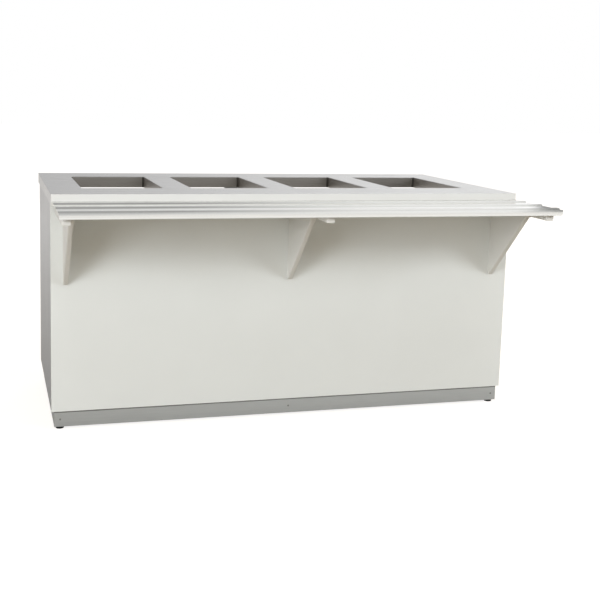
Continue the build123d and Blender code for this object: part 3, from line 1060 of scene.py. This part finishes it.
@dataclass(frozen=True)
class Bracket:
    """White welded bracket under the tray: a folded gusset and a closed tube beside it."""

    name: str
    gusset_tip: float = 6.0
    gusset_sheet: float = 2.0
    gusset_bend: float = 5.0
    gusset_faces: int = 6
    fascia_gap: float = 2.0
    arm_wall: float = 2.0
    arm_round: float = 4.0
    cap_round: float = 1.2
    bead: float = 2.6
    bead_sides: int = 8
    # Parts of the bead's radius: how far its middle stands out of the corner, and what its ripples leave.
    bead_out: float = 0.35
    bead_waist: float = 0.82
    # Ripples of a hand-laid weld are some 1.5 mm apart. They are drawn coarser, so that they show.
    ripple_mm: float = 4.0

    def gusset(self) -> Shape:
        """Folded box, triangular from the side, open at its top.

        Returns:
            The new mesh.
        """
        low, high = node_box(f"gusset_{self.name}")
        back = high.y
        step = PLAN.front - self.fascia_gap
        line = [(back, low.z), (back - self.gusset_tip, low.z), (low.y, high.z)]
        line += [(step, high.z), (step, PLAN.fold), (back, PLAN.fold)]
        shape = bmesh.new()
        face = shape.faces.new([shape.verts.new((low.x, y, z)) for y, z in line])
        made = bmesh.ops.extrude_face_region(shape, geom=[face])
        bmesh.ops.translate(shape, vec=(high.x - low.x, 0, 0), verts=new_verts(made))
        bmesh.ops.recalc_face_normals(shape, faces=shape.faces)
        shape.normal_update()
        # The folds run along the slope and the tip, and not at the tray or the panel.
        at_top = {e for e in shape.edges if all(v.co.z > PLAN.fold - NEAR for v in e.verts)}
        at_panel = {e for e in shape.edges if all(v.co.y > back - NEAR for v in e.verts)}
        folds = [e for e in shape.edges if e not in at_top | at_panel]
        bevel(shape, folds, self.gusset_bend, self.gusset_faces)
        level = [f for f in shape.faces if f.normal.z > SQUARE_ON]
        thicken(shape, self.gusset_sheet, [f for f in level if f.calc_center_median().z > high.z - NEAR])
        return shape

    def arm(self) -> Shape:
        """Tube with a welded cap at its front end.

        Returns:
            The new mesh.
        """
        shape = block(*node_box(f"tray_arm_{self.name}"))
        long = [e for e in shape.edges if abs(edge_run(e).y) > HAIR]
        bevel(shape, long, self.arm_round, TUBE_FACES)
        cap = [f for f in shape.faces if f.normal.y < -SQUARE_ON]
        bevel(shape, {e for f in cap for e in f.edges}, self.cap_round, RIM_FACES)
        thicken(shape, self.arm_wall, [f for f in shape.faces if f.normal.y > SQUARE_ON])
        return shape

    def weld(self) -> Shape:
        """Rippled bead along the lower edge between the arm and the gusset.

        Returns:
            The new mesh.
        """
        low, high = node_box(f"gusset_{self.name}")
        arm_low, _ = node_box(f"tray_arm_{self.name}")
        slope = (high.z - low.z) / (PLAN.panel - self.gusset_tip - low.y)
        start = low.y + (high.z - arm_low.z) / slope + self.bead
        end = PLAN.front - self.fascia_gap
        length = end - start
        joint, toward = (high.x, 1.0) if arm_low.x > low.x else (low.x, -1.0)
        shape, r = bmesh.new(), self.bead
        bmesh.ops.create_cone(
            shape, cap_ends=True, segments=self.bead_sides, radius1=r, radius2=r, depth=length
        )
        rings = int(length / self.ripple_mm) * 2
        sides = [e for e in shape.edges if abs(edge_run(e).z) > HAIR]
        bmesh.ops.subdivide_edges(shape, edges=sides, cuts=rings - 1, use_grid_fill=True)
        for vert in shape.verts:
            if round((vert.co.z + length / 2) / length * rings) % 2:
                vert.co.xy = vert.co.xy * self.bead_waist
        out = r * self.bead_out
        return turned(shape, Axis.Y.vector, (joint + toward * out, (start + end) / 2, arm_low.z + out))

    def build(self, shop: Workshop) -> None:
        """Make the gusset, the arm and the bead between them.

        Args:
            shop: Workshop that makes the pieces.
        """
        name = self.name
        paint = "white_paint"
        # The bracket's paint is the darker, painted shade copy of the panel's paint.
        shop.add(f"gusset_box_{name}", self.gusset(), SHADED_COAT, paint, nodes=(f"gusset_{name}",))
        shop.add(f"arm_tube_{name}", self.arm(), SHADED_COAT, paint, nodes=(f"tray_arm_{name}",))
        shop.add(f"bracket_weld_{name}", self.weld(), SHADED_COAT, paint)


@dataclass(frozen=True)
class Fasteners:
    """Screws of the plinth and the stile, and the bolts of the brackets."""

    plinth_screw: PanScrew = PanScrew(head=3.6, height=1.8, shank=2.0, length=10.0)
    plinth_front: float = -219.5
    plinth_back: float = 462.5
    plinth_z: float = 38.0
    bolt_levels: tuple[float, ...] = (594.5, 770.0)
    bolt_seat: float = -196.0
    bolt_tip: float = -239.5
    bolt_radius: float = 4.0
    bolt_point: float = 1.0
    bolt_head: float = 7.0
    bolt_low: float = 1.0
    bolt_height: float = 5.3
    bolt_round: float = 0.7
    bolt_flange: float = 8.4
    flange_edge: float = 0.8
    flange_top: float = 1.6
    stile_screw: PanScrew = PanScrew(head=4.0, height=2.0, shank=2.0, length=8.0)
    stile_x: float = 72.5
    stile_y: float = 508.5
    shelf_flange: float = 113.0
    rail_flange: float = 837.0

    def bolt(self) -> Shape:
        """Hexagon bolt with a flange under its head, the seat at Z = 0.

        Returns:
            The new mesh.
        """
        length, r, point = self.bolt_seat - self.bolt_tip, self.bolt_radius, self.bolt_point
        wide, top = self.bolt_flange, self.flange_top
        outline = [(TINY, -length), (r - point, -length), (r, point - length), (r, 0), (wide, 0)]
        outline += [(wide, self.flange_edge), (self.bolt_head, top), (TINY, top)]
        head = hexagon(self.bolt_head, self.bolt_low, self.bolt_height, self.bolt_round)
        return joined((spun(outline), head))

    def build(self, shop: Workshop) -> None:
        """Make the screws through the long plinths and the stile's flanges, and the brackets' bolts.

        Args:
            shop: Workshop that makes the pieces.
        """
        xs, faces = (-PLAN.leg_x, 0.0, PLAN.leg_x), ((self.plinth_front, -1), (self.plinth_back, 1))
        plinth = [((0, out, 0), (x, y, self.plinth_z)) for x in xs for y, out in faces]
        sides, flanges = (-self.stile_x, self.stile_x), ((self.shelf_flange, 1), (self.rail_flange, -1))
        stile = [((0, 0, out), (x, self.stile_y, z)) for x in sides for z, out in flanges]
        bolts = [((0, 1, 0), (x, self.bolt_seat, z)) for x in PLAN.bracket_xs for z in self.bolt_levels]
        grey, zinc = (SCREW_STEEL, "screw_steel"), (ZINC, "zinc_steel")
        groups = (
            ("plinth_pan_screws", "plinth_screws", self.plinth_screw.build, plinth, grey),
            ("stile_pan_screws", "stile_screws", self.stile_screw.build, stile, zinc),
            ("bracket_hex_bolts", "bracket_bolts", self.bolt, bolts, zinc),
        )
        for name, node, make, spots, look in groups:
            shape = joined(turned(make(), up, place) for up, place in spots)
            shop.add(name, shape, *look, nodes=(node,))


@dataclass(frozen=True)
class LevellingFoot:
    """Black glide on a threaded stem that screws into a leg."""

    name: str
    x: float
    y: float
    pad_radius: float = 15.0
    pad_height: float = 10.0
    pad_steps: int = 40
    # Outline of the glide: how far in from its radius, and how high above the floor or below its top.
    pad_foot: Outline = ((2.2, 0), (0.8, 0.5), (0, 1.8), (0, 4.2), (0.5, 4.8), (0.5, 5.4), (0, 6.0))
    pad_shoulder: Outline = ((0, 2.0), (0.6, 0.8), (2.0, 0.2))
    socket_gap: float = 0.05
    socket_rim: float = 3.5
    socket_floor: float = 4.0
    stem_radius: float = 5.0
    stem_low: float = 4.05
    stem_high: float = 62.0
    stem_chamfer: float = 1.0
    collar_radius: float = 9.0
    collar_low: float = 10.3
    collar_high: float = 16.2
    collar_round: float = 0.8
    thread_low: float = 18.0
    pitch: float = 1.5
    thread_depth: float = 0.8
    # Half of the ridge's foot as a part of the pitch, how far it is sunk in the core, and faces in a turn.
    thread_half: float = 0.42
    thread_sunk: float = 0.2
    thread_steps: int = 20

    def pad(self) -> Shape:
        """Moulded glide with a rounded foot, a waist and a socket.

        Returns:
            The new mesh.
        """
        r, h, s = self.pad_radius, self.pad_height, self.stem_radius + self.socket_gap
        outline = [(TINY, 0), *((r - inset, z) for inset, z in self.pad_foot)]
        outline += [*((r - inset, h - down) for inset, down in self.pad_shoulder), (s + self.socket_rim, h)]
        outline += [(s, h), (s, self.socket_floor), (TINY, self.socket_floor)]
        return turned(spun(outline, self.pad_steps), Axis.Z.vector, (self.x, self.y, 0))

    def stem(self) -> Shape:
        """Stem with a hexagonal collar and a helical thread.

        Returns:
            The new mesh.
        """
        r, low, high, c = self.stem_radius, self.stem_low, self.stem_high, self.stem_chamfer
        core = r - self.thread_depth
        outline = [(TINY, low), (r, low), (r, self.thread_low), (core, self.thread_low + c)]
        outline += [(core, high - c), (core - c, high), (TINY, high)]
        collar = hexagon(self.collar_radius, self.collar_low, self.collar_high, self.collar_round)
        whole = joined((spun(outline), collar, self.thread(core)))
        return turned(whole, Axis.Z.vector, (self.x, self.y, 0))

    def thread(self, core: float) -> Shape:
        """Ridge of the thread, a closed section wound up the stem.

        Args:
            core: Radius of the stem under the thread.

        Returns:
            The new mesh.
        """
        turns = (self.stem_high - self.thread_low - 2 * self.pitch) / self.pitch
        base, half = self.thread_low + self.pitch, self.pitch * self.thread_half
        root = core - self.thread_sunk
        shape = bmesh.new()
        corners = ((root, base - half), (self.stem_radius, base), (root, base + half))
        verts = [shape.verts.new((radius, 0, z)) for radius, z in corners]
        face = shape.faces.new(verts)
        steps = int(turns * self.thread_steps)
        section, rise = [face, *face.edges, *verts], (0, 0, turns * self.pitch / steps)
        bmesh.ops.spin(
            shape, geom=section, cent=(0, 0, 0), axis=(0, 0, 1), dvec=rise, angle=math.tau * turns,
            steps=steps,
        )
        bmesh.ops.recalc_face_normals(shape, faces=shape.faces)
        return shape

    def build(self, shop: Workshop) -> None:
        """Make the pad and the stem, which move as two bodies.

        Args:
            shop: Workshop that makes the pieces.
        """
        pad, stem = f"foot_pad_{self.name}", f"foot_stem_{self.name}"
        shop.add(f"glide_{self.name}", self.pad(), BLACK_NYLON, "black_plastic", pad, (pad,))
        shop.add(f"stem_{self.name}", self.stem(), ZINC, "zinc_steel", stem, (stem,))


def main() -> None:
    """Build the scene piece by piece."""
    logging.basicConfig(level=logging.INFO, format="%(message)s")
    Eye().build()
    Studio().build()
    shop = Workshop()
    Casing().dress(shop)
    TubeFrame().build(shop)
    TraySlide().build(shop)
    for name in ("left", "middle", "right"):
        Bracket(name).build(shop)
    Fasteners().build(shop)
    for depth, y in (("front", PLAN.leg_front), ("back", PLAN.leg_back)):
        for end, x in (("left", -PLAN.leg_x), ("right", PLAN.leg_x)):
            LevellingFoot(f"{depth}_{end}", x, y).build(shop)


if __name__ == "__main__":
    main()
